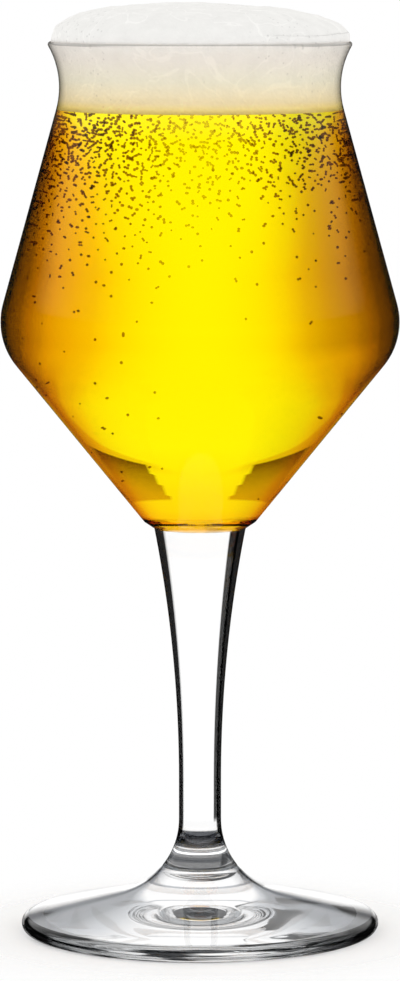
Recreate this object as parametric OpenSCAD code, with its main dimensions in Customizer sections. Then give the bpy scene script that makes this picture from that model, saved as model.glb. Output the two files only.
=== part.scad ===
// Stemmed beer glass, poured: a blown bowl on a drawn stem and a pressed foot, fused
// hot at two seams, with the beer in it and the head of foam that stands over the rim.
// Millimetres. +Z is up, and the origin is on the table under the middle of the foot.

/* [Bowl] */
// Height of the bowl, from its seam with the stem to the rim
bowl_h = 113.5; // [108:0.5:122]
// Outside diameter over the rim
rim_d = 70.6; // [68:0.2:74]
// Outside diameter of the neck at its narrowest
neck_d = 65.4; // [60:0.2:66.6]
// Depth of the neck's narrowest line under the rim
neck_drop = 10.5; // [8:0.1:13]
// Outside diameter of the belly
belly_d = 93; // [86:0.5:100]
// Height of the belly's widest line above the seam
belly_h = 48.4; // [44:0.2:53]
// Outside radius of the turn at the belly
belly_round = 16; // [11:0.5:20]
// Diameter where the lower cone ends and the heel turns in
heel_d = 26.2; // [24:0.2:31]
// Height of the heel above the seam
heel_h = 1.6; // [1:0.1:3]
// Thickness of the wall
wall = 1.3; // [1:0.1:1.8]
// Thickness of the solid glass under the drink
floor_t = 2.2; // [1.8:0.1:6]
// Radius where the inside of the cone turns into the floor
floor_round = 6; // [4:0.5:9]

/* [Stem] */
// Length of the stem between its two seams
stem_l = 80; // [70:0.5:95]
// Diameter of the seam between the stem and the bowl
seam_d = 21.4; // [18:0.2:23]
// Diameter of the waist
waist_d = 9.9; // [8:0.1:12]
// Length of the straight waist
waist_l = 9.5; // [4:0.5:16]
// Radius of the sweep from the waist into the foot
flare_r = 18; // [14:0.5:21]
// Height of that sweep above the seam with the foot
flare_rise = 11.1; // [9:0.1:12.5]

/* [Foot] */
// Diameter of the foot
foot_d = 84; // [78:0.5:92]
// Thickness of the foot at its round edge
edge_t = 4; // [3:0.1:5]
// Height of the seam between the foot and the stem above the table
boss_h = 15.4; // [13:0.1:18]
// Width of the flat ring that the glass stands on
ring_w = 4; // [2:0.5:8]
// Depth of the hollow under the foot
kick_h = 1.6; // [0.8:0.1:2.4]

/* [Drink] */
// Depth of the beer's surface under the rim
beer_drop = 15.8; // [10:0.2:40]
// Height of the foam above the rim
foam_rise = 9.2; // [6:0.1:14]

/* [Hidden] */

// Steps in each round stretch of an outline
arc_steps = 12;
$fn = 128;

// How square the foam's dome is: 2 would make it a plain ellipse
dome_power = 2.5;

// Colours with their opacity
glass_colour = [0.90, 0.93, 0.94, 0.35];
beer_colour = [0.98, 0.76, 0.05, 0.85];
foam_colour = [0.97, 0.95, 0.90, 1.00];

// The bowl stands on the stem, and the stem on the foot
bowl_z = boss_h + stem_l;
beer_z = bowl_h - beer_drop;

// The turn at the belly is a circle inside the glass
belly_c = [belly_d / 2 - belly_round, belly_h];

// The neck and its lip follow a circle outside the glass, through the narrowest line and the
// middle of the rim's round edge
lip_r = wall / 2;
lip_c = [rim_d / 2 - lip_r, bowl_h - lip_r];
neck_z = bowl_h - neck_drop;
lip_out = (rim_d - neck_d) / 2;
neck_mid_r = (pow(lip_out, 2) + pow(lip_c.y - neck_z, 2)) / (2 * lip_out);
neck_r = neck_mid_r - lip_r;
neck_c = [neck_d / 2 + neck_r, neck_z];
lip_lean = asin((lip_c.y - neck_z) / neck_mid_r);

// Directions square to the straight stretches, pointing out of the glass
wall_facing = between_facing(belly_c, belly_round, neck_c, neck_r);
cone_facing = from_point_facing([heel_d / 2, heel_h], belly_c, belly_round);

// The inside of the cone turns into the floor on a circle that touches both
cone_in = belly_c + (belly_round - wall) * toward(cone_facing);
floor_c_z = floor_t + floor_round;
floor_c = [
    (cone_in * toward(cone_facing) - floor_round - floor_c_z * sin(cone_facing)) / cos(cone_facing),
    floor_c_z
];

// The sweep from the stem to the foot is one circle outside the glass, cut by their seam
flare_c = [waist_d / 2 + flare_r, boss_h + flare_rise];
seam_facing = 180 + asin(flare_rise / flare_r);
edge_r = edge_t / 2;
edge_c = [foot_d / 2 - edge_r, edge_r];
foot_facing = between_facing(edge_c, edge_r, flare_c, flare_r);

// The stem widens to the bowl on one long arc that leaves the waist upright
taper_z = flare_c.y + waist_l;
taper_out = (seam_d - waist_d) / 2;
taper_r = (pow(taper_out, 2) + pow(bowl_z - taper_z, 2)) / (2 * taper_out);
taper_c = [waist_d / 2 + taper_r, taper_z];
taper_turn = asin((bowl_z - taper_z) / taper_r);

// The hollow under the foot is a shallow dome that ends at the standing ring
ring_in_r = foot_d / 2 - edge_r - ring_w;
kick_r = (pow(ring_in_r, 2) + pow(kick_h, 2)) / (2 * kick_h);
kick_turn = asin(ring_in_r / kick_r);

function toward(angle) = [cos(angle), sin(angle)];

// The points of an arc, both ends included
function arc(centre, radius, from, to) =
    [for (i = [0 : arc_steps]) centre + radius * toward(from + (to - from) * i / arc_steps)];

function reversed(points) = [for (i = [len(points) - 1 : -1 : 0]) points[i]];

function bearing(from, to) = atan2(to.y - from.y, to.x - from.x);

// Facing of the line that touches two circles and passes between them, from the first to the second
function between_facing(c1, r1, c2, r2) = bearing(c1, c2) - acos((r1 + r2) / norm(c2 - c1));

// Facing of the line from a point that touches a circle, with the circle behind the line
function from_point_facing(point, centre, radius) =
    bearing(centre, point) + acos(radius / norm(point - centre));

// The bowl's side at a depth into the glass, from the top of the cone to the lip
function bowl_side(depth) = concat(
    arc(belly_c, belly_round - depth, cone_facing, wall_facing),
    arc(neck_c, neck_r + depth, 180 + wall_facing, 180 - lip_lean)
);

// The inside of the bowl from the middle of its floor up to the lip
function bowl_inside() = concat(
    [[0, floor_t]],
    arc(floor_c, floor_round, -90, cone_facing),
    bowl_side(wall)
);

// The foam's dome from the crest of the lip to the axis
function foam_dome() = [
    for (i = [1 : arc_steps])
    let (t = 90 * i / arc_steps)
    [
        lip_c.x * pow(max(cos(t), 0), 2 / dome_power),
        bowl_h + foam_rise * pow(sin(t), 2 / dome_power)
    ]
];

// What lies under a level, wide enough for the whole bowl
module below(level) {
    square([belly_d, level]);
}

module bowl_space() {
    polygon(concat(bowl_inside(), [[0, lip_c.y]]));
}

// The bowl: one blown wall of even thickness with a round lip and a solid heel
module bowl() {
    color(glass_colour)
    translate([0, 0, bowl_z])
    rotate_extrude()
    polygon(concat(
        [[0, 0], [seam_d / 2, 0], [heel_d / 2, heel_h]],
        bowl_side(0),
        arc(lip_c, lip_r, -lip_lean, 180 - lip_lean),
        reversed(bowl_inside())
    ));
}

// The stem: solid glass, waisted above the foot and widening to the bowl
module stem() {
    color(glass_colour)
    rotate_extrude()
    polygon(concat(
        [[0, boss_h]],
        arc(flare_c, flare_r, seam_facing, 180),
        arc(taper_c, taper_r, 180, 180 - taper_turn),
        [[0, bowl_z]]
    ));
}

// The foot: a solid disc with a round edge, a low boss for the stem and a hollow underneath
module foot() {
    color(glass_colour)
    rotate_extrude()
    polygon(concat(
        [[0, boss_h]],
        arc(flare_c, flare_r, seam_facing, 180 + foot_facing),
        arc(edge_c, edge_r, foot_facing, -90),
        arc([0, kick_h - kick_r], kick_r, 90 - kick_turn, 90)
    ));
}

// The beer: it fills the bowl from the floor to its level
module beer() {
    color(beer_colour)
    translate([0, 0, bowl_z])
    rotate_extrude()
    intersection() {
        bowl_space();
        below(beer_z);
    }
}

// The head of foam: it lies on the beer, fills the neck and domes over the rim
module foam_head() {
    color(foam_colour)
    translate([0, 0, bowl_z])
    rotate_extrude()
    difference() {
        polygon(concat(
            bowl_inside(),
            arc(lip_c, lip_r, 180 - lip_lean, 90),
            foam_dome()
        ));
        below(beer_z);
    }
}

bowl();
stem();
foot();
beer();
foam_head();
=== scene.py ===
# Stemmed beer glass, poured: a blown bowl on a drawn stem and a pressed foot, the golden beer with its
# bubbles, and the head of foam that stands over the rim. Outlines are half sections in millimetres:
# radius from the axis of the glass, height above the table.
import math
import random

import bpy
from mathutils import Matrix, Vector


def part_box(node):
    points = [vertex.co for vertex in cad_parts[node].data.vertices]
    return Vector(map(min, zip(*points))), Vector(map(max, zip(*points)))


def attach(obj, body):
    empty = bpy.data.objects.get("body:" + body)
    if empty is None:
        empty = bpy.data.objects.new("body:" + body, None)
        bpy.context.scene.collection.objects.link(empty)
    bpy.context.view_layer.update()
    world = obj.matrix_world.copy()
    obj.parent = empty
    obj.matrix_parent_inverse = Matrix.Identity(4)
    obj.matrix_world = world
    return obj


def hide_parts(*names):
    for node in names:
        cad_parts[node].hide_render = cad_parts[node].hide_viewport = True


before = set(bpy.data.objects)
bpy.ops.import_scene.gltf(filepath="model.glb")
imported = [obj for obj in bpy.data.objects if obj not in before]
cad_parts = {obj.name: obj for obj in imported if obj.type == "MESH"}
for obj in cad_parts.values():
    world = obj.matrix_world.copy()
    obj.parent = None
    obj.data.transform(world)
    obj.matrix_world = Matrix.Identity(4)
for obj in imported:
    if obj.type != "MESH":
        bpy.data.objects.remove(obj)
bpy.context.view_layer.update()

# The bowl: thin blown soda-lime glass of even thickness with a fire-polished lip and a solid heel.
# It was blown in a mould and spun, so both faces are smooth, and it is fused to the stem at its seat.
MM = 0.001
bowl_low, bowl_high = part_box("bowl")
seat_z = bowl_low[2] / MM
rim_z = bowl_high[2] / MM
belly_r = bowl_high[0] / MM
rim_r = 35.3
neck_r = 32.7
neck_drop = 10.5
neck_z = rim_z - neck_drop
belly_rise = 48.4
belly_z = seat_z + belly_rise
belly_round = 16
heel_r = 13.1
heel_rise = 1.6
heel_z = seat_z + heel_rise
seam_r = 10.7
wall = 1.3
floor_thick = 2.2
floor_z = seat_z + floor_thick
floor_round = 6
weld = 0.01


def toward(angle):
    """Unit step in the half section, at an angle in degrees from straight outwards."""
    return Vector((math.cos(math.radians(angle)), math.sin(math.radians(angle))))


def arc(centre, radius, start, end, turn=4):
    """Points of an arc from one facing to another, ends included, about one for each turn in degrees."""
    steps = max(2, math.ceil(abs(end - start) / turn))
    return [Vector(centre) + radius * toward(start + (end - start) * i / steps) for i in range(steps + 1)]


def line(start, end, step=3):
    """Points inside a straight stretch, about one for each step in mm."""
    steps = max(1, math.ceil((Vector(end) - Vector(start)).length / step))
    return [Vector(start).lerp(Vector(end), i / steps) for i in range(1, steps)]


def joined(*stretches):
    """One outline from arcs and corner points, with the straight stretches between them filled in."""
    outline = []
    for stretch in stretches:
        if outline:
            outline += line(outline[-1], stretch[0])
        outline += [Vector(point) for point in stretch]
    return outline


def bearing(start, end):
    """Direction in degrees from one point of the half section to another."""
    return math.degrees(math.atan2(end[1] - start[1], end[0] - start[0]))


def between_facing(c1, r1, c2, r2):
    """Facing of the line that touches two circles and passes between them."""
    return bearing(c1, c2) - math.degrees(math.acos((r1 + r2) / math.dist(c1, c2)))


def turned(name, outline, around=160):
    """A closed piece spun round the axis from its half outline, as on a lathe."""
    bpy.ops.object.select_all(action="DESELECT")
    bpy.ops.mesh.primitive_plane_add(size=MM)
    piece = bpy.context.object
    piece.name = piece.data.name = name
    bpy.ops.object.mode_set(mode="EDIT")
    bpy.ops.mesh.merge(type="CENTER")
    bpy.ops.transform.translate(value=(outline[0].x * MM, 0, outline[0].y * MM))
    for start, end in zip(outline, outline[1:]):
        step = (end - start) * MM
        bpy.ops.mesh.extrude_vertices_move(TRANSFORM_OT_translate={"value": (step.x, 0, step.y)})
    bpy.ops.mesh.select_all(action="SELECT")
    bpy.ops.mesh.spin(steps=around, angle=math.tau, center=(0, 0, 0), axis=(0, 0, 1))
    bpy.ops.mesh.select_all(action="SELECT")
    bpy.ops.mesh.remove_doubles(threshold=weld * MM)
    bpy.ops.mesh.normals_make_consistent(inside=False)
    bpy.ops.object.mode_set(mode="OBJECT")
    bpy.ops.object.shade_smooth()
    return piece


belly_c = Vector((belly_r - belly_round, belly_z))
lip_r = wall / 2
lip_c = Vector((rim_r - lip_r, rim_z - lip_r))
lip_out = rim_r - neck_r
neck_mid = (lip_out ** 2 + (lip_c.y - neck_z) ** 2) / (2 * lip_out)
neck_round = neck_mid - lip_r
neck_c = Vector((neck_r + neck_round, neck_z))
lip_lean = math.degrees(math.asin((lip_c.y - neck_z) / neck_mid))
heel = Vector((heel_r, heel_z))
wall_facing = between_facing(belly_c, belly_round, neck_c, neck_round)
cone_facing = bearing(belly_c, heel) + math.degrees(math.acos(belly_round / math.dist(belly_c, heel)))


def bowl_side(depth):
    """The bowl's side at a depth into the glass, from the top of the cone to the lip."""
    return joined(
        arc(belly_c, belly_round - depth, cone_facing, wall_facing),
        arc(neck_c, neck_round + depth, 180 + wall_facing, 180 - lip_lean))


def bowl_inside(depth):
    """The inside of the bowl from the middle of its floor to the lip, at a depth into the glass."""
    out = toward(cone_facing)
    cone_in = belly_c + (belly_round - depth) * out
    round_z = floor_z + floor_round - (wall - depth)
    round_r = (cone_in.dot(out) - floor_round - round_z * out.y) / out.x
    return joined(
        [(0, round_z - floor_round)],
        arc((round_r, round_z), floor_round, -90, cone_facing),
        bowl_side(depth))


def radius_at(outline, z):
    """Radius of a rising outline at a height."""
    for low, high in zip(outline, outline[1:]):
        if low.y <= z < high.y:
            return low.x + (high.x - low.x) * (z - low.y) / (high.y - low.y)
    return outline[-1].x


bowl = turned("glass_bowl", joined(
    [(0, seat_z)],
    [(seam_r, seat_z)],
    [heel],
    bowl_side(0),
    arc(lip_c, lip_r, -lip_lean, 180 - lip_lean, turn=15)[1:-1],
    bowl_inside(wall)[::-1]))

# Black for painted shade in glass, near-white for clear glass, and black for glass that mirrors nothing.
dark = "#010101"
clear = "#FEFEFE"
no_shine = "#000000"
glass_ior = 1.52
outline_from = 0.68
outline_to = 0.84


def linear(hex_colour):
    """Linear RGBA of an sRGB hex colour."""
    channels = [int(hex_colour[i:i + 2], 16) / 255 for i in (1, 3, 5)]
    return [c / 12.92 if c <= 0.04045 else ((c + 0.055) / 1.055) ** 2.4 for c in channels] + [1]


def add_node(tree, kind, settings, links=()):
    """A node with its settings, which are properties, input sockets or a ramp's stops, and its links."""
    node = tree.nodes.new(kind)
    for key, value in settings.items():
        if key == "stops":
            node.color_ramp.elements.remove(node.color_ramp.elements[1])
            node.color_ramp.elements[0].position, node.color_ramp.elements[0].color = value[0]
            for position, colour in value[1:]:
                node.color_ramp.elements.new(position).color = colour
        elif isinstance(key, str) and key not in node.inputs:
            setattr(node, key, value)
        else:
            node.inputs[key].default_value = value
    for key, source in links:
        tree.links.new(source, node.inputs[key])
    return node


def turning_away(tree, sideways):
    """Socket that grows from 0 to 1 as an outer face turns away from the eye.

    Sideways, it grows no further than the face turns to the left or right.
    """
    geometry = add_node(tree, "ShaderNodeNewGeometry", {})
    turning = add_node(tree, "ShaderNodeLayerWeight", {"Blend": 0.5}).outputs["Facing"]
    if sideways:
        level = add_node(tree, "ShaderNodeVectorMath", {"operation": "MULTIPLY", 1: (1, 1, 0)},
                         [(0, geometry.outputs["Normal"])])
        upright = add_node(tree, "ShaderNodeVectorMath", {"operation": "NORMALIZE"},
                           [(0, level.outputs[0])])
        round_side = add_node(tree, "ShaderNodeLayerWeight", {"Blend": 0.5},
                              [("Normal", upright.outputs[0])])
        turning = add_node(tree, "ShaderNodeMath", {"operation": "MINIMUM"},
                           [(0, round_side.outputs["Facing"]), (1, turning)]).outputs[0]
    outer = add_node(tree, "ShaderNodeMath", {"operation": "SUBTRACT", 0: 1, "use_clamp": True},
                     [(1, geometry.outputs["Backfacing"])])
    return add_node(tree, "ShaderNodeMath", {"operation": "MULTIPLY"},
                    [(0, turning), (1, outer.outputs[0])]).outputs[0]


def height_share(tree):
    """Socket for the height as a share of the rim's height."""
    place = add_node(tree, "ShaderNodeTexCoord", {})
    axes = add_node(tree, "ShaderNodeSeparateXYZ", {}, [(0, place.outputs["Object"])])
    return add_node(tree, "ShaderNodeMath", {"operation": "DIVIDE", 1: rim_z * MM},
                    [(0, axes.outputs["Z"])]).outputs[0]


def glass(name, turns, eases=(), sideways=True, shine=True):
    """Clear polished soda-lime glass, tinted with painted shade by how far its outer face turns away from
    the eye.

    The eases say, for a height in mm, which power the turn is raised to, the most that it may then
    reach, and how much of it is taken back at the outline, so that the tints come later and weaker.
    Glass without shine mirrors nothing where it faces the eye.
    """
    material = bpy.data.materials.new(name)
    material.use_nodes = True
    tree = material.node_tree
    shader = tree.nodes["Principled BSDF"]
    shader.inputs["Transmission Weight"].default_value = 1
    shader.inputs["IOR"].default_value = glass_ior
    shader.inputs["Roughness"].default_value = 0
    if not shine:
        shader.inputs["Specular Tint"].default_value = linear(no_shine)
    turning = turning_away(tree, sideways)
    if eases:
        stops = [(z / rim_z, (power, most, relief, 1)) for z, power, most, relief in eases]
        ease = add_node(tree, "ShaderNodeValToRGB", {"stops": stops}, [(0, height_share(tree))])
        eased = add_node(tree, "ShaderNodeSeparateColor", {}, [(0, ease.outputs["Color"])])
        raised = add_node(tree, "ShaderNodeMath", {"operation": "POWER"},
                          [(0, turning), (1, eased.outputs[0])])
        held = add_node(tree, "ShaderNodeMath", {"operation": "MINIMUM"},
                        [(0, raised.outputs[0]), (1, eased.outputs[1])])
        edge = add_node(tree, "ShaderNodeMapRange", {"From Min": outline_from, "From Max": outline_to},
                        [("Value", turning)])
        relief = add_node(tree, "ShaderNodeMath", {"operation": "MULTIPLY"},
                          [(0, edge.outputs["Result"]), (1, eased.outputs[2])])
        turning = add_node(tree, "ShaderNodeMath", {"operation": "SUBTRACT", "use_clamp": True},
                           [(0, held.outputs[0]), (1, relief.outputs[0])]).outputs[0]
    # The ramp paints shade into the glass's colour as its outer face turns away.
    stops = [(turn, linear(colour)) for turn, colour in turns]
    painted_shade = add_node(tree, "ShaderNodeValToRGB", {"stops": stops}, [(0, turning)])
    tree.links.new(painted_shade.outputs["Color"], shader.inputs["Base Color"])
    return material


# Blown glass above the drink: clear, with a painted dark line of shade along the outline, where the wall is
# seen lengthwise.
bowl.data.materials.append(glass("blown_glass", [(0.68, clear), (0.93, dark)]))

# Blown glass with the drink behind it: the eye sees gold in the middle and amber to dark brown sides. The
# tints are painted shade: they multiply the drink's gold, come late at the neck and stay weak in the cone.
amber_painted_shade = [
    (0, clear), (0.123, "#F6B5B5"), (0.165, "#EB9B9B"), (0.240, "#DD8181"), (0.350, "#BF5F5F"),
    (0.414, "#934242"), (0.490, "#6F2929"), (0.585, "#381010"), (0.780, "#030101")]
amber_shade_eases = [
    (100, 2.4, 0.32, 0.28), (106, 2.3, 0.38, 0.34), (112, 2.4, 0.4, 0.36), (119, 2.4, 0.4, 0.37),
    (126.5, 2.1, 0.42, 0.38), (130, 1.65, 0.5, 0.3), (134, 1.3, 0.65, 0.1), (137, 1.16, 0.85, 0),
    (141, 1, 1, 0), (157, 1, 1, 0), (168, 1.2, 1, 0), (178, 1.42, 1, 0), (183, 1.8, 1, 0),
    (189, 2.4, 1, 0), (193, 5, 1, 0)]
filled = glass("filled_glass", amber_painted_shade, amber_shade_eases, shine=False)
tree = filled.node_tree
shader = tree.nodes["Principled BSDF"]
turning = turning_away(tree, True)
share = height_share(tree)

# A painted glow lies on the glass just under the foam, standing in for light from the foam.
painted_glow_low = 187
painted_glow_high = 193
painted_glass_glow = add_node(tree, "ShaderNodeValToRGB", {"stops": [
    (painted_glow_low / rim_z, linear("#000000")), (painted_glow_high / rim_z, linear("#302C21"))]}, [(0, share)])
tree.links.new(painted_glass_glow.outputs["Color"], shader.inputs["Emission Color"])
shader.inputs["Emission Strength"].default_value = 1

# Painted shade: an olive wedge stands on each side of the cone's foot. It darkens upwards, its top rises
# and its bottom falls to the side, and its inner edge leans out in steps.
wedge_low = 104.4
wedge_high = 111.8
wedge_fade = 5
wedge_soft = 0.5
top_rise = 7.5
bottom_fall = 3.3
step_share = 0.2
step_lean = 0.1
lowered = add_node(tree, "ShaderNodeMath", {"operation": "MULTIPLY_ADD", 1: -top_rise / rim_z},
                   [(0, turning), (2, share)])
up_wedge = add_node(tree, "ShaderNodeMapRange",
                    {"From Min": (wedge_low - wedge_fade) / rim_z, "From Max": wedge_high / rim_z},
                    [("Value", lowered.outputs[0])])
olive = add_node(tree, "ShaderNodeValToRGB", {"stops": [
    (0, linear("#C89E9E")), (0.35, linear("#B68A8A")), (0.65, linear("#805C5C")), (0.97, linear("#382222")),
    (1, linear(clear))]}, [(0, up_wedge.outputs["Result"])])
raised = add_node(tree, "ShaderNodeMath", {"operation": "MULTIPLY_ADD", 1: bottom_fall / rim_z},
                  [(0, turning), (2, share)])
above = add_node(tree, "ShaderNodeMapRange",
                 {"From Min": (wedge_low - wedge_soft) / rim_z, "From Max": wedge_low / rim_z},
                 [("Value", raised.outputs[0])])
steps = add_node(tree, "ShaderNodeMath", {"operation": "SNAP", 1: step_share},
                 [(0, up_wedge.outputs["Result"])])
stepped = add_node(tree, "ShaderNodeMath", {"operation": "MULTIPLY_ADD", 1: -step_lean},
                   [(0, steps.outputs[0]), (2, turning)])
beside = add_node(tree, "ShaderNodeMapRange", {"From Min": 0.04, "From Max": 0.06},
                  [("Value", stepped.outputs[0])])
within = add_node(tree, "ShaderNodeMapRange",
                  {"interpolation_type": "SMOOTHSTEP",
                   "From Min": 0.5, "From Max": 0.7, "To Min": 1, "To Max": 0},
                  [("Value", turning)])
flank = add_node(tree, "ShaderNodeMath", {"operation": "MULTIPLY"},
                 [(0, beside.outputs["Result"]), (1, within.outputs["Result"])])
wedge = add_node(tree, "ShaderNodeMath", {"operation": "MULTIPLY"},
                 [(0, flank.outputs[0]), (1, above.outputs["Result"])])
side = shader.inputs["Base Color"].links[0].from_socket
shaded = add_node(tree, "ShaderNodeMix", {"data_type": "RGBA", "blend_type": "MULTIPLY"},
                  [(0, wedge.outputs[0]), (6, side), (7, olive.outputs["Color"])])

# Painted shade: outside a brighter lens in the middle of the cone the glass is a shade more amber. Each
# point of the outline is a height in mm, how far the glass turns away there, and how much it shows.
lens_outline = [
    (110, 0, 0), (113, 0.1, 1), (116.4, 0.37, 1), (118.2, 0.45, 1), (122.9, 0.55, 1), (127.5, 0.5, 1),
    (131.7, 0.41, 0.8), (137, 0.3, 0)]
lens = add_node(tree, "ShaderNodeValToRGB",
                {"stops": [(z / rim_z, (turn, strength, 0, 1)) for z, turn, strength in lens_outline]},
                [(0, share)])
lens_line = add_node(tree, "ShaderNodeSeparateColor", {}, [(0, lens.outputs["Color"])])
past_line = add_node(tree, "ShaderNodeMath", {"operation": "SUBTRACT"},
                     [(0, turning), (1, lens_line.outputs[0])])
outside = add_node(tree, "ShaderNodeMapRange", {"From Min": -0.02, "From Max": 0.03},
                   [("Value", past_line.outputs[0])])
around_lens = add_node(tree, "ShaderNodeMath", {"operation": "MULTIPLY"},
                       [(0, outside.outputs["Result"]), (1, lens_line.outputs[1])])
lens_painted_shade = add_node(tree, "ShaderNodeMix",
                 {"data_type": "RGBA", "blend_type": "MULTIPLY", 7: linear("#E4BEBE")},
                 [(0, around_lens.outputs[0]), (6, shaded.outputs[2])])
tree.links.new(lens_painted_shade.outputs[2], shader.inputs["Base Color"])
bowl.data.materials.append(filled)

# The wall's inner face under the drink: it is wetted, so the eye sees no face there.
bowl.data.materials.append(glass("wetted_glass", [(0, clear)], shine=False))

# The lip, melted round in a flame: a soft grey line of painted shade shows where it curves away.
bowl.data.materials.append(glass("fire_polished_glass", [(0.1, clear), (0.35, "#969698")], sideways=False))
beer_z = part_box("beer")[1][2] / MM
level_facing = 0.99
for face in bowl.data.polygons:
    spot = face.center / MM
    inward = face.normal.z > level_facing or face.normal.x * spot.x + face.normal.y * spot.y < 0
    if heel_z < spot.z < beer_z:
        face.material_index = bowl.data.materials.find("wetted_glass" if inward else "filled_glass")
    elif spot.z > lip_c.y:
        face.material_index = bowl.data.materials.find("fire_polished_glass")
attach(bowl, "root")
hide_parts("bowl")

# The stem: solid glass drawn from the bowl's seat, waisted and flaring into the foot.
# Its ends sink a hair into the bowl and the foot, because the three are fused with no gap to see.
fuse = 0.2
boss_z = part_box("stem")[0][2] / MM
waist_r = 4.95
waist_l = 9.5
flare_r = 18
flare_rise = 11.1
flare_c = Vector((waist_r + flare_r, boss_z + flare_rise))
taper_z = flare_c.y + waist_l
taper_out = seam_r - waist_r
taper_r = (taper_out ** 2 + (seat_z - taper_z) ** 2) / (2 * taper_out)
taper_turn = math.degrees(math.asin((seat_z - taper_z) / taper_r))
flare_start = 180 + math.degrees(math.asin(flare_rise / flare_r))
flare = arc(flare_c, flare_r, flare_start, 180)
stem = turned("glass_stem", joined(
    [(0, boss_z - fuse)],
    [(flare[0].x, boss_z - fuse)],
    flare,
    arc((waist_r + taper_r, taper_z), taper_r, 180, 180 - taper_turn, turn=0.5),
    [(seam_r, seat_z + fuse)],
    [(0, seat_z + fuse)]))

# Drawn glass: a clear core between two black edges of painted shade, which soften where the stem flares.
# Over the lower seam come two grey rings and a dark band: painted shade that the solid glass gathers there.
ring_zone = 10
ring_shade_grey = "#8A8E94"
drawn = glass("drawn_glass", [(0.34, clear), (0.42, dark)], eases=[(18, 5, 1, 0), (23.5, 1, 1, 0)])
tree = drawn.node_tree
shader = tree.nodes["Principled BSDF"]
place = add_node(tree, "ShaderNodeTexCoord", {})
axes = add_node(tree, "ShaderNodeSeparateXYZ", {}, [(0, place.outputs["Object"])])
above_seam = add_node(tree, "ShaderNodeMapRange",
                      {"From Min": boss_z * MM, "From Max": (boss_z + ring_zone) * MM},
                      [("Value", axes.outputs["Z"])])
painted_ring_shade = add_node(tree, "ShaderNodeValToRGB", {"stops": [
    (0, linear("#707478")), (0.06, linear("#909498")), (0.08, linear(clear)), (0.2, linear(clear)),
    (0.22, linear(ring_shade_grey)), (0.28, linear(ring_shade_grey)), (0.3, linear(clear)), (0.49, linear(clear)),
    (0.51, linear("#26282C")), (0.72, linear("#1C1E22")), (0.76, linear(clear))]},
    [(0, above_seam.outputs["Result"])])
side = shader.inputs["Base Color"].links[0].from_socket
shaded = add_node(tree, "ShaderNodeMix", {"data_type": "RGBA", "blend_type": "MULTIPLY", 0: 1},
                  [(6, side), (7, painted_ring_shade.outputs["Color"])])
tree.links.new(shaded.outputs[2], shader.inputs["Base Color"])
stem.data.materials.append(drawn)

# The middle of the lower seam, painted as a dark spot of shade, as the eye sees it through the foot.
spot_r = 4.4
stem.data.materials.append(glass("painted_dark_seam_glass", [(0, "#101214")]))

# The rest of both seams: glass melted into glass, which shows no face.
stem.data.materials.append(glass("seamless_glass", [(0, clear)], shine=False))
for face in stem.data.polygons:
    if abs(face.normal.z) > level_facing:
        under_middle = face.normal.z < 0 and face.center.xy.length < spot_r * MM
        face.material_index = stem.data.materials.find("painted_dark_seam_glass" if under_middle else "seamless_glass")
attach(stem, "root")
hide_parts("stem")

# The foot: a pressed disc of solid glass with a round edge and a low boss, fused to the stem.
# It stands on a flat ring around a shallow hollow, which pressing leaves under such a foot.
foot_r = 42
edge_r = 2
ring_w = 4
kick_h = 1.6
edge_c = Vector((foot_r - edge_r, edge_r))
foot_facing = between_facing(edge_c, edge_r, flare_c, flare_r)
ring_in_r = edge_c.x - ring_w
kick_r = (ring_in_r ** 2 + kick_h ** 2) / (2 * kick_h)
kick_turn = math.degrees(math.asin(ring_in_r / kick_r))
foot = turned("glass_foot", joined(
    [(0, boss_z)],
    arc(flare_c, flare_r, flare_start, 180 + foot_facing),
    arc(edge_c, edge_r, foot_facing, -90, turn=8),
    arc((0, kick_h - kick_r), kick_r, 90 - kick_turn, 90, turn=0.5)))


def painted_glare(tree):
    """Give a material a painted reflection: the white the foot's top throws back where seen almost edge on.
    """
    geometry = add_node(tree, "ShaderNodeNewGeometry", {})
    facing = add_node(tree, "ShaderNodeSeparateXYZ", {}, [(0, geometry.outputs["Normal"])])
    on_top = add_node(tree, "ShaderNodeMapRange",
                      {"interpolation_type": "SMOOTHSTEP", "From Min": 0.6, "From Max": 0.9},
                      [("Value", facing.outputs["Z"])])
    edge_on = add_node(tree, "ShaderNodeMapRange",
                       {"interpolation_type": "SMOOTHSTEP",
                        "From Min": 0.78, "From Max": 0.9, "To Max": 0.75},
                       [("Value", turning_away(tree, False))])
    white = add_node(tree, "ShaderNodeMath", {"operation": "MULTIPLY"},
                     [(0, on_top.outputs["Result"]), (1, edge_on.outputs["Result"])])
    shader = tree.nodes["Principled BSDF"]
    tree.links.new(white.outputs[0], shader.inputs["Emission Color"])
    shader.inputs["Emission Strength"].default_value = 1


# Pressed glass: clear where it faces the eye and grey at a slant, as painted shade, with a slight waviness
# that bends what is seen through it. A painted grey line runs round the boss, with painted shadow on the
# boss's sides over that line.
wave_width = 24
wave_depth = 0.5
line_z = 11.8
boss_painted_shadow = "#5A5E64"
pressed = glass("pressed_glass", [
    (0.6, clear), (0.65, "#A8ACB2"), (0.7, "#5A5E64"), (0.75, "#484C52"), (0.81, "#484C52"), (0.87, clear)],
    sideways=False)
tree = pressed.node_tree
shader = tree.nodes["Principled BSDF"]
place = add_node(tree, "ShaderNodeTexCoord", {})
unevenness = add_node(tree, "ShaderNodeTexNoise", {"Scale": 1 / (wave_width * MM), "Detail": 0},
                      [("Vector", place.outputs["Object"])])
wave = add_node(tree, "ShaderNodeBump", {"Strength": 1, "Distance": wave_depth * MM},
                [("Height", unevenness.outputs["Fac"])])
tree.links.new(wave.outputs["Normal"], shader.inputs["Normal"])
axes = add_node(tree, "ShaderNodeSeparateXYZ", {}, [(0, place.outputs["Object"])])
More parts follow.
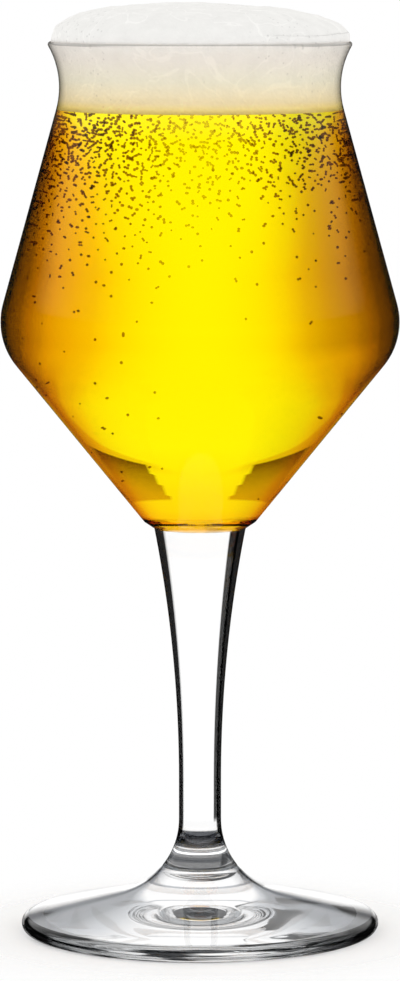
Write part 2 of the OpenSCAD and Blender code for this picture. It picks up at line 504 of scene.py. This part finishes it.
on_boss = add_node(tree, "ShaderNodeMapRange", {"From Min": line_z * MM, "From Max": boss_z * MM},
                   [("Value", axes.outputs["Z"])])
painted_line_round = add_node(tree, "ShaderNodeValToRGB", {"stops": [
    (0, linear(clear)), (0.03, linear(ring_shade_grey)), (0.1, linear(ring_shade_grey)), (0.14, linear(clear))]},
    [(0, on_boss.outputs["Result"])])
boss_side = add_node(tree, "ShaderNodeMapRange", {"From Min": 0.25, "From Max": 0.65},
                     [("Value", turning_away(tree, True))])
over_line = add_node(tree, "ShaderNodeMath", {"operation": "GREATER_THAN", 1: 0.02},
                     [(0, on_boss.outputs["Result"])])
in_shadow = add_node(tree, "ShaderNodeMath", {"operation": "MULTIPLY"},
                     [(0, boss_side.outputs["Result"]), (1, over_line.outputs[0])])
shadow = add_node(tree, "ShaderNodeMix", {"data_type": "RGBA", 7: linear(boss_painted_shadow)},
                  [(0, in_shadow.outputs[0]), (6, painted_line_round.outputs["Color"])])
side = shader.inputs["Base Color"].links[0].from_socket
shaded = add_node(tree, "ShaderNodeMix", {"data_type": "RGBA", "blend_type": "MULTIPLY", 0: 1},
                  [(6, side), (7, shadow.outputs[2])])
tree.links.new(shaded.outputs[2], shader.inputs["Base Color"])
painted_glare(tree)
foot.data.materials.append(pressed)

# The edge as the mould left it: thick glass with painted shade, black to the sides and in long flat dark
# streaks along the front. Seen at a grazing angle it is clear again.
streak_length = 15
streak_flatness = 18
moulded = glass("moulded_edge_glass", [
    (0, clear), (0.08, "#D0D2D4"), (0.2, "#8A8C8E"), (0.35, "#4A4C4E"), (0.5, dark)], shine=False)
tree = moulded.node_tree
shader = tree.nodes["Principled BSDF"]
place = add_node(tree, "ShaderNodeTexCoord", {})
along = add_node(tree, "ShaderNodeVectorMath", {"operation": "MULTIPLY", 1: (1, 1, streak_flatness)},
                 [(0, place.outputs["Object"])])
streaks = add_node(tree, "ShaderNodeTexNoise", {"Scale": 1 / (streak_length * MM), "Detail": 1},
                   [("Vector", along.outputs[0])])
painted_streak_shade = add_node(tree, "ShaderNodeValToRGB", {"stops": [
    (0.4, linear("#0C0D0E")), (0.45, linear("#6A6C6E")), (0.5, linear(clear))]},
    [(0, streaks.outputs["Fac"])])
side = shader.inputs["Base Color"].links[0].from_socket
streak_shaded = add_node(tree, "ShaderNodeMix", {"data_type": "RGBA", "blend_type": "MULTIPLY", 0: 1},
                    [(6, side), (7, painted_streak_shade.outputs["Color"])])
grazing = add_node(tree, "ShaderNodeMapRange", {"From Min": 0.8, "From Max": 0.86},
                   [("Value", turning_away(tree, False))])
shaded = add_node(tree, "ShaderNodeMix", {"data_type": "RGBA", 7: linear(clear)},
                  [(0, grazing.outputs["Result"]), (6, streak_shaded.outputs[2])])
tree.links.new(shaded.outputs[2], shader.inputs["Base Color"])
painted_glare(tree)
foot.data.materials.append(moulded)
for face in foot.data.polygons:
    if face.center.xy.length > edge_c.x * MM:
        face.material_index = foot.data.materials.find("moulded_edge_glass")
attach(foot, "root")
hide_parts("foot")

# The beer: a clear golden lager that fills the bowl up to its level under the neck.
# It wets the wall, so its skin lies a hair inside the glass, and the depth of drink gives its colour.
wetting = 0.15
beer_side = [point for point in bowl_inside(wall - wetting) if point.y < beer_z]
beer_r = radius_at(bowl_inside(wall - wetting), beer_z)
beer = turned("poured_beer", joined(beer_side, [(beer_r, beer_z)], [(0, beer_z)]))

# Filtered lager: an even bright gold, which blue light doesn't get through, and deeper at the floor. Its
# refraction is set under water's, because the gold stays even across the bowl that way.
beer_ior = 1.13
absorbing = 40
material = bpy.data.materials.new("golden_lager")
material.use_nodes = True
tree = material.node_tree
shader = tree.nodes["Principled BSDF"]
shader.inputs["Transmission Weight"].default_value = 1
shader.inputs["IOR"].default_value = beer_ior
shader.inputs["Specular Tint"].default_value = linear(no_shine)
shader.inputs["Roughness"].default_value = 0
place = add_node(tree, "ShaderNodeTexCoord", {})
height = add_node(tree, "ShaderNodeSeparateXYZ", {}, [(0, place.outputs["Object"])])
level = add_node(tree, "ShaderNodeMapRange",
                 {"From Min": floor_z * MM, "From Max": beer_z * MM}, [("Value", height.outputs["Z"])])
shade = add_node(tree, "ShaderNodeValToRGB", {"stops": [
    (0, linear("#FFC414")), (0.04, linear("#FFD816")), (0.08, linear("#FFDE18")), (0.13, linear("#FFE81A")),
    (0.21, linear("#FFF41C"))]}, [(0, level.outputs["Result"])])
tree.links.new(shade.outputs["Color"], shader.inputs["Base Color"])
depth = add_node(tree, "ShaderNodeVolumeAbsorption", {"Color": linear("#FFFD00"), "Density": absorbing})
tree.links.new(depth.outputs["Volume"], tree.nodes["Material Output"].inputs["Volume"])
beer.data.materials.append(material)
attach(beer, "root")
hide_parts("beer")

# The gas bubbles: carbonic gas that clings to the inside of the wall in short crooked chains.
# They crowd under the foam and thin out on the way down, soonest on the right.
# They are drawn a little coarser than real ones, so that each shows as a speck.
bubble_r = 0.32
link_step = 1.7 * bubble_r
chain_count = 1900
chain_links = (1, 1, 1, 1, 2, 2, 2, 2, 3, 3, 4)
short_kinds = 8
lone_kinds = 5
long_chain_depth = 14
short_chain_depth = 24
smallest = 0.7
largest = 1.25
scatter = 0.02
crowd_share = 0.65
crowd_depth = 40
crowd_peak = 4
spread_depth = 28
thin_side = -0.2
thinning_depth = 50
most_thinned = 0.85
top_gap = 0.5
bare_floor = 6
slope_span = 1
golden_turn = math.pi * (3 - math.sqrt(5))
inside = bowl_inside(wall)
random.seed(11)


def chain(links):
    """A crooked chain of gas bubbles, lying flat."""
    bpy.ops.object.select_all(action="DESELECT")
    bpy.ops.mesh.primitive_uv_sphere_add(segments=6, ring_count=4, radius=bubble_r * MM)
    piece = bpy.context.object
    bpy.ops.object.mode_set(mode="EDIT")
    heading = 0
    for _ in range(links - 1):
        heading += random.uniform(-1, 1)
        step = link_step * MM
        bpy.ops.mesh.duplicate_move(
            TRANSFORM_OT_translate={"value": (step * math.cos(heading), step * math.sin(heading), 0)})
    bpy.ops.object.mode_set(mode="OBJECT")
    bpy.ops.object.shade_smooth()
    return piece


chains = [chain(links) for links in chain_links]
depths = sorted(
    random.triangular(0, crowd_depth, crowd_peak) if random.random() < crowd_share
    else random.expovariate(1 / spread_depth)
    for _ in range(chain_count))
placed = []
for i, depth in enumerate(depths):
    around = i * golden_turn + random.uniform(-scatter, scatter)
    z = beer_z - top_gap - depth
    if depth < long_chain_depth:
        kinds = len(chains)
    elif depth < short_chain_depth:
        kinds = short_kinds
    else:
        kinds = lone_kinds
    kind = chains[random.randrange(kinds)]
    size = random.uniform(smallest, largest)
    thinned = math.cos(around) > thin_side and random.random() < min(most_thinned, depth / thinning_depth)
    if z < floor_z + bare_floor or thinned:
        continue
    copy = kind.copy()
    copy.data = kind.data.copy()
    rise = radius_at(inside, z + slope_span / 2) - radius_at(inside, z - slope_span / 2)
    lean = math.atan(rise / slope_span)
    copy.matrix_world = (Matrix.Rotation(around, 4, "Z")
                         @ Matrix.Translation(((radius_at(inside, z) - bubble_r) * MM, 0, z * MM))
                         @ Matrix.Rotation(math.pi / 2 + lean, 4, "Y")
                         @ Matrix.Rotation(random.uniform(0, math.tau), 4, "Z")
                         @ Matrix.Scale(size, 4))
    bpy.context.collection.objects.link(copy)
    placed.append(copy)
bpy.ops.object.select_all(action="DESELECT")
for kind in chains:
    bpy.data.objects.remove(kind)
for copy in placed:
    copy.select_set(True)
bpy.context.view_layer.objects.active = placed[0]
bpy.ops.object.join()
bpy.ops.object.transform_apply()
gas = bpy.context.object
gas.name = gas.data.name = "gas_bubbles"

# Carbonic gas: pale specks in the middle of the glass and brown ones where the wall turns away. The brown
# is painted shade.
material = bpy.data.materials.new("carbonic_gas")
material.use_nodes = True
tree = material.node_tree
shader = tree.nodes["Principled BSDF"]
shader.inputs["Transmission Weight"].default_value = 1
shader.inputs["IOR"].default_value = 1
shader.inputs["Roughness"].default_value = 0
place = add_node(tree, "ShaderNodeTexCoord", {})
level = add_node(tree, "ShaderNodeVectorMath", {"operation": "MULTIPLY", 1: (1, 1, 0)},
                 [(0, place.outputs["Object"])])
outward = add_node(tree, "ShaderNodeVectorMath", {"operation": "NORMALIZE"}, [(0, level.outputs[0])])
slant = add_node(tree, "ShaderNodeLayerWeight", {"Blend": 0.5}, [("Normal", outward.outputs[0])])
painted_shade = add_node(tree, "ShaderNodeValToRGB", {"stops": [
    (0, linear("#D8CA8C")), (0.03, linear("#C0AA70")), (0.09, linear("#9E7C44")), (0.19, linear("#7C5A2E")),
    (0.6, linear("#846034"))]}, [(0, slant.outputs["Facing"])])
tree.links.new(painted_shade.outputs["Color"], shader.inputs["Base Color"])
gas.data.materials.append(material)
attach(gas, "root")

# The head of foam: fine beer froth that lies on the beer, fills the neck and domes over the rim.
# It wets the glass too, and it is tinted by the drink at its foot.
swell_room = 0.5
dome_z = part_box("foam_head")[1][2] / MM - swell_room
dome_tilt = -1
dome_power = 2.5
dome_steps = 60
tilt_from = 2
loose_from = 0.2
loose_to = 3
swells = ((14, 1.3), (4.5, 0.7), (1.6, 0.3))
foam_side = [point for point in bowl_side(wall - wetting) if point.y > beer_z]
dome = []
for i in range(2, dome_steps):
    angle = math.radians(90 * i / dome_steps)
    dome.append(Vector((lip_c.x * math.cos(angle) ** (2 / dome_power),
                        rim_z + (dome_z - rim_z) * math.sin(angle) ** (2 / dome_power))))
foam = turned("froth_head", joined(
    [(0, beer_z - wetting)],
    [(radius_at(bowl_inside(wall - wetting), beer_z - wetting), beer_z - wetting)],
    foam_side,
    arc(lip_c, lip_r - wetting, 180 - lip_lean, 90, turn=15),
    dome,
    [(0, dome_z)]), around=240)
bpy.ops.object.mode_set(mode="EDIT")
bpy.ops.mesh.select_all(action="DESELECT")
bpy.ops.object.mode_set(mode="OBJECT")
for vertex in foam.data.vertices:
    vertex.select = vertex.co.z > (rim_z + tilt_from) * MM
bpy.ops.object.mode_set(mode="EDIT")
bpy.ops.transform.rotate(value=math.radians(dome_tilt), orient_axis="Y", center_override=(0, 0, rim_z * MM))
bpy.ops.object.mode_set(mode="OBJECT")
loose_top = foam.vertex_groups.new(name="dome")
for vertex in foam.data.vertices:
    over_rim = vertex.co.z / MM - rim_z
    if over_rim > loose_from:
        loose_top.add([vertex.index], min(1, over_rim / loose_to), "REPLACE")
for width, height in swells:
    texture = bpy.data.textures.new("froth", "CLOUDS")
    texture.noise_scale = width * MM
    swell = foam.modifiers.new("swell", "DISPLACE")
    swell.texture = texture
    swell.texture_coords = "LOCAL"
    swell.strength = height * MM
    swell.vertex_group = "dome"
    bpy.ops.object.modifier_apply(modifier=swell.name)

# Beer froth: matt and creamy white, yellow where it meets the drink, and with a painted glow as if a little
# lit from within. It is mottled, with pale swirls painted as highlights, patches of pits painted darker as
# shade, and a skin of cells. Real pits and cells are finer: here they are drawn coarse enough to show.
froth_high = rim_z + 2
mottle_width = 5
swirl_width = 16
pit_spacing = 1.5
patch_width = 18
cell_width = 0.9
cell_depth = 0.25
material = bpy.data.materials.new("beer_froth")
material.use_nodes = True
tree = material.node_tree
shader = tree.nodes["Principled BSDF"]
shader.inputs["Roughness"].default_value = 0.8
shader.inputs["Specular IOR Level"].default_value = 0
place = add_node(tree, "ShaderNodeTexCoord", {})
height = add_node(tree, "ShaderNodeSeparateXYZ", {}, [(0, place.outputs["Object"])])
level = add_node(tree, "ShaderNodeMapRange",
                 {"From Min": beer_z * MM, "From Max": froth_high * MM}, [("Value", height.outputs["Z"])])
shade = add_node(tree, "ShaderNodeValToRGB", {"stops": [
    (0, linear("#F9D978")), (0.05, linear("#FCE49A")), (0.135, linear("#FAEBC6")),
    (0.225, linear("#F8EDD4")), (0.41, linear("#F0ECDE")), (0.69, linear("#F0ECE6")),
    (0.88, linear("#F2F0ED")), (1, linear("#F6F5F2"))]},
    [(0, level.outputs["Result"])])
# Painted glow, warmest at the foot and gone just over the rim.
froth_painted_glow = add_node(tree, "ShaderNodeValToRGB", {"stops": [
    (0, linear("#81763F")), (0.05, linear("#6F693F")), (0.135, linear("#59594B")),
    (0.41, linear("#555752")), (0.69, linear("#555252")), (0.8, linear("#504D4B")),
    (0.97, linear("#000000"))]},
    [(0, level.outputs["Result"])])
tree.links.new(froth_painted_glow.outputs["Color"], shader.inputs["Emission Color"])
shader.inputs["Emission Strength"].default_value = 1
mottle = add_node(tree, "ShaderNodeTexNoise",
                  {"Scale": 1 / (mottle_width * MM), "Detail": 6, "Roughness": 0.65},
                  [("Vector", place.outputs["Object"])])
mottling = add_node(tree, "ShaderNodeMapRange",
                    {"From Min": 0.3, "From Max": 0.7, "To Min": 0.93, "To Max": 1},
                    [("Value", mottle.outputs["Fac"])])
swirl = add_node(tree, "ShaderNodeTexNoise",
                 {"Scale": 1 / (swirl_width * MM), "Detail": 2, "Distortion": 1.5},
                 [("Vector", place.outputs["Object"])])
# Painted highlights along thin lines of the swirls.
swirl_highlight = add_node(tree, "ShaderNodeMath", {"operation": "COMPARE", 1: 0.5, 2: 0.012},
                    [(0, swirl.outputs["Fac"])])
swirl_highlighted = add_node(tree, "ShaderNodeMath", {"operation": "MULTIPLY_ADD", 1: 0.05},
                   [(0, swirl_highlight.outputs[0]), (2, mottling.outputs["Result"])])
large_cells = add_node(tree, "ShaderNodeTexVoronoi", {"Scale": 1 / (pit_spacing * MM)},
                       [("Vector", place.outputs["Object"])])
# Painted shade in the pits, only in patches.
pits = add_node(tree, "ShaderNodeMapRange",
                {"From Min": 0.12, "From Max": 0.22, "To Min": 0.16, "To Max": 0},
                [("Value", large_cells.outputs["Distance"])])
patch = add_node(tree, "ShaderNodeTexNoise", {"Scale": 1 / (patch_width * MM), "Detail": 1},
                 [("Vector", place.outputs["Object"])])
in_patch = add_node(tree, "ShaderNodeMapRange", {"From Min": 0.52, "From Max": 0.6},
                    [("Value", patch.outputs["Fac"])])
pit_shade = add_node(tree, "ShaderNodeMath", {"operation": "MULTIPLY"},
                   [(0, pits.outputs["Result"]), (1, in_patch.outputs["Result"])])
shading = add_node(tree, "ShaderNodeMath", {"operation": "SUBTRACT"},
                   [(0, swirl_highlighted.outputs[0]), (1, pit_shade.outputs[0])])
froth = add_node(tree, "ShaderNodeVectorMath", {"operation": "SCALE"},
                 [(0, shade.outputs["Color"]), ("Scale", shading.outputs[0])])
tree.links.new(froth.outputs[0], shader.inputs["Base Color"])
cells = add_node(tree, "ShaderNodeTexVoronoi", {"Scale": 1 / (cell_width * MM)},
                 [("Vector", place.outputs["Object"])])
skin = add_node(tree, "ShaderNodeBump", {"Strength": 0.5, "Distance": cell_depth * MM, "invert": True},
                [("Height", cells.outputs["Distance"])])
tree.links.new(skin.outputs["Normal"], shader.inputs["Normal"])
foam.data.materials.append(material)

# The froth's underside on the beer: a painted warm white glow stands in for light that falls through the
# head.
underside_facing = -0.9
underside_thick = 1
material = bpy.data.materials.new("froth_underside_painted_glow")
material.use_nodes = True
shader = material.node_tree.nodes["Principled BSDF"]
shader.inputs["Base Color"].default_value = linear("#F8F0DC")
shader.inputs["Emission Color"].default_value = linear("#FFF8E8")
shader.inputs["Emission Strength"].default_value = 0.6
foam.data.materials.append(material)
for face in foam.data.polygons:
    if face.normal.z < underside_facing and face.center.z < (beer_z + underside_thick) * MM:
        face.material_index = foam.data.materials.find("froth_underside_painted_glow")
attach(foam, "root")
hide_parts("foam_head")

# The stage: a plain pale table top with a faint gloss, of painted board. It holds the shadow under the
# foot and fades into the white of the studio around it, and the glass doesn't mirror it.
table_r = 3000
fade_from = 10
fade_to = 80
bpy.ops.object.select_all(action="DESELECT")
bpy.ops.mesh.primitive_circle_add(vertices=96, radius=table_r * MM, fill_type="NGON")
floor = bpy.context.object
floor.name = "floor"
material = bpy.data.materials.new("pale_table")
material.use_nodes = True
tree = material.node_tree
tree.nodes.remove(tree.nodes["Principled BSDF"])
plain = add_node(tree, "ShaderNodeBsdfDiffuse", {"Color": linear("#FAFAFA")})
gloss = add_node(tree, "ShaderNodeBsdfGlossy", {"Color": linear("#FFFFFF"), "Roughness": 0.12})
top = add_node(tree, "ShaderNodeMixShader", {0: 0.08}, [(1, plain.outputs[0]), (2, gloss.outputs[0])])
place = add_node(tree, "ShaderNodeTexCoord", {})
distance = add_node(tree, "ShaderNodeVectorMath", {"operation": "LENGTH"}, [(0, place.outputs["Object"])])
fade = add_node(tree, "ShaderNodeMapRange",
                {"interpolation_type": "SMOOTHSTEP", "From Min": fade_from * MM, "From Max": fade_to * MM},
                [("Value", distance.outputs["Value"])])
rays = add_node(tree, "ShaderNodeLightPath", {})
mirrored = add_node(tree, "ShaderNodeMath", {"operation": "SUBTRACT", "use_clamp": True},
                    [(0, rays.outputs["Is Glossy Ray"]), (1, rays.outputs["Is Transmission Ray"])])
gone = add_node(tree, "ShaderNodeMath", {"operation": "MAXIMUM"},
                [(0, fade.outputs["Result"]), (1, mirrored.outputs[0])])
see_through = add_node(tree, "ShaderNodeBsdfTransparent", {})
blend = add_node(tree, "ShaderNodeMixShader", {},
                 [(0, gone.outputs[0]), (1, top.outputs[0]), (2, see_through.outputs[0])])
tree.links.new(blend.outputs[0], tree.nodes["Material Output"].inputs["Surface"])
floor.data.materials.append(material)

# The light: a white studio all round, seen through the glass, and in its reflections a dark room with a
# pale ceiling. A grey card and a narrow dark flag stand behind, to the left: the card shows only through
# many faces of glass, as in the drink, and the flag only through a few, as in the stem.
white = "#FFFFFF"
room = "#181818"
ceiling = "#F0F0F0"
studio_light = 1.08
card_light = 0.72
card_toward = (-0.301, 0.954, 0)
flag_toward = (-0.656, 0.755, 0)
face_count = 3
world = bpy.data.worlds.new("studio")
bpy.context.scene.world = world
world.use_nodes = True
tree = world.node_tree
background = tree.nodes["Background"]
rays = add_node(tree, "ShaderNodeLightPath", {})
direction = add_node(tree, "ShaderNodeTexCoord", {})
axes = add_node(tree, "ShaderNodeSeparateXYZ", {}, [(0, direction.outputs["Generated"])])
overhead = add_node(tree, "ShaderNodeMapRange",
                    {"interpolation_type": "SMOOTHSTEP", "From Min": 0.19, "From Max": 0.3},
                    [("Value", axes.outputs["Z"])])
mirrored = add_node(tree, "ShaderNodeMix", {"data_type": "RGBA", 6: linear(room), 7: linear(ceiling)},
                    [(0, overhead.outputs["Result"])])
reflected = add_node(tree, "ShaderNodeMix", {"data_type": "RGBA", 6: linear(white)},
                     [(0, rays.outputs["Is Glossy Ray"]), (7, mirrored.outputs[2])])
level = add_node(tree, "ShaderNodeVectorMath", {"operation": "MULTIPLY", 1: (1, 1, 0)},
                 [(0, direction.outputs["Generated"])])
round_about = add_node(tree, "ShaderNodeVectorMath", {"operation": "NORMALIZE"}, [(0, level.outputs[0])])
card_side = add_node(tree, "ShaderNodeVectorMath", {"operation": "DOT_PRODUCT", 1: card_toward},
                     [(0, round_about.outputs[0])])
card = add_node(tree, "ShaderNodeMapRange",
                {"interpolation_type": "SMOOTHSTEP", "From Min": 0.97, "From Max": 0.995},
                [("Value", card_side.outputs["Value"])])
many_faces = add_node(tree, "ShaderNodeMath", {"operation": "GREATER_THAN", 1: face_count},
                      [(0, rays.outputs["Transmission Depth"])])
card_fade = add_node(tree, "ShaderNodeMapRange",
                     {"From Min": 0, "From Max": 0.05, "To Min": 1, "To Max": 0.45},
                     [("Value", axes.outputs["Z"])])
through_many = add_node(tree, "ShaderNodeMath", {"operation": "MULTIPLY"},
                        [(0, card_fade.outputs["Result"]), (1, many_faces.outputs[0])])
card_shown = add_node(tree, "ShaderNodeMath", {"operation": "MULTIPLY"},
                      [(0, card.outputs["Result"]), (1, through_many.outputs[0])])
lit = add_node(tree, "ShaderNodeMix",
               {"data_type": "RGBA", 6: [studio_light] * 3 + [1], 7: [card_light] * 3 + [1]},
               [(0, card_shown.outputs[0])])
flag_side = add_node(tree, "ShaderNodeVectorMath", {"operation": "DOT_PRODUCT", 1: flag_toward},
                     [(0, round_about.outputs[0])])
flag = add_node(tree, "ShaderNodeMapRange", {"From Min": 0.982, "From Max": 0.988},
                [("Value", flag_side.outputs["Value"])])
few_faces = add_node(tree, "ShaderNodeMath", {"operation": "LESS_THAN", 1: face_count},
                     [(0, rays.outputs["Transmission Depth"])])
over_flag_foot = add_node(tree, "ShaderNodeMapRange", {"From Min": -0.24, "From Max": -0.19},
                          [("Value", axes.outputs["Z"])])
standing_flag = add_node(tree, "ShaderNodeMath", {"operation": "MULTIPLY"},
                         [(0, flag.outputs["Result"]), (1, over_flag_foot.outputs["Result"])])
flag_shown = add_node(tree, "ShaderNodeMath", {"operation": "MULTIPLY"},
                      [(0, standing_flag.outputs[0]), (1, few_faces.outputs[0])])
behind = add_node(tree, "ShaderNodeMix", {"data_type": "RGBA", 7: linear(room)},
                  [(0, flag_shown.outputs[0]), (6, lit.outputs[2])])
refracted = add_node(tree, "ShaderNodeMix", {"data_type": "RGBA"},
                     [(0, rays.outputs["Is Transmission Ray"]),
                      (6, reflected.outputs[2]),
                      (7, behind.outputs[2])])
seen = add_node(tree, "ShaderNodeMix", {"data_type": "RGBA", 7: linear(white)},
                [(0, rays.outputs["Is Camera Ray"]), (6, refracted.outputs[2])])
tree.links.new(seen.outputs[2], background.inputs["Color"])
background.inputs["Strength"].default_value = 1

# The camera: a long lens about 1.2 m away and a little above the rim, turned down to the glass.
# Light is followed through many faces, because the glass, the drink and the bubbles lie in each other.
camera_away = 1.241
camera_up = 0.239
camera_tilt = 6.2
camera_lens = 195.85
camera_data = bpy.data.cameras.new("camera")
camera_data.lens = camera_lens
camera = bpy.data.objects.new("camera", camera_data)
camera.location = (0, -camera_away, camera_up)
camera.rotation_euler = (math.radians(90 - camera_tilt), 0, 0)
scene = bpy.context.scene
scene.collection.objects.link(camera)
scene.camera = camera
scene.view_settings.view_transform = "Standard"
scene.cycles.max_bounces = 24
scene.cycles.diffuse_bounces = 8
scene.cycles.blur_glossy = 0
scene.cycles.transmission_bounces = 24
scene.cycles.glossy_bounces = 12
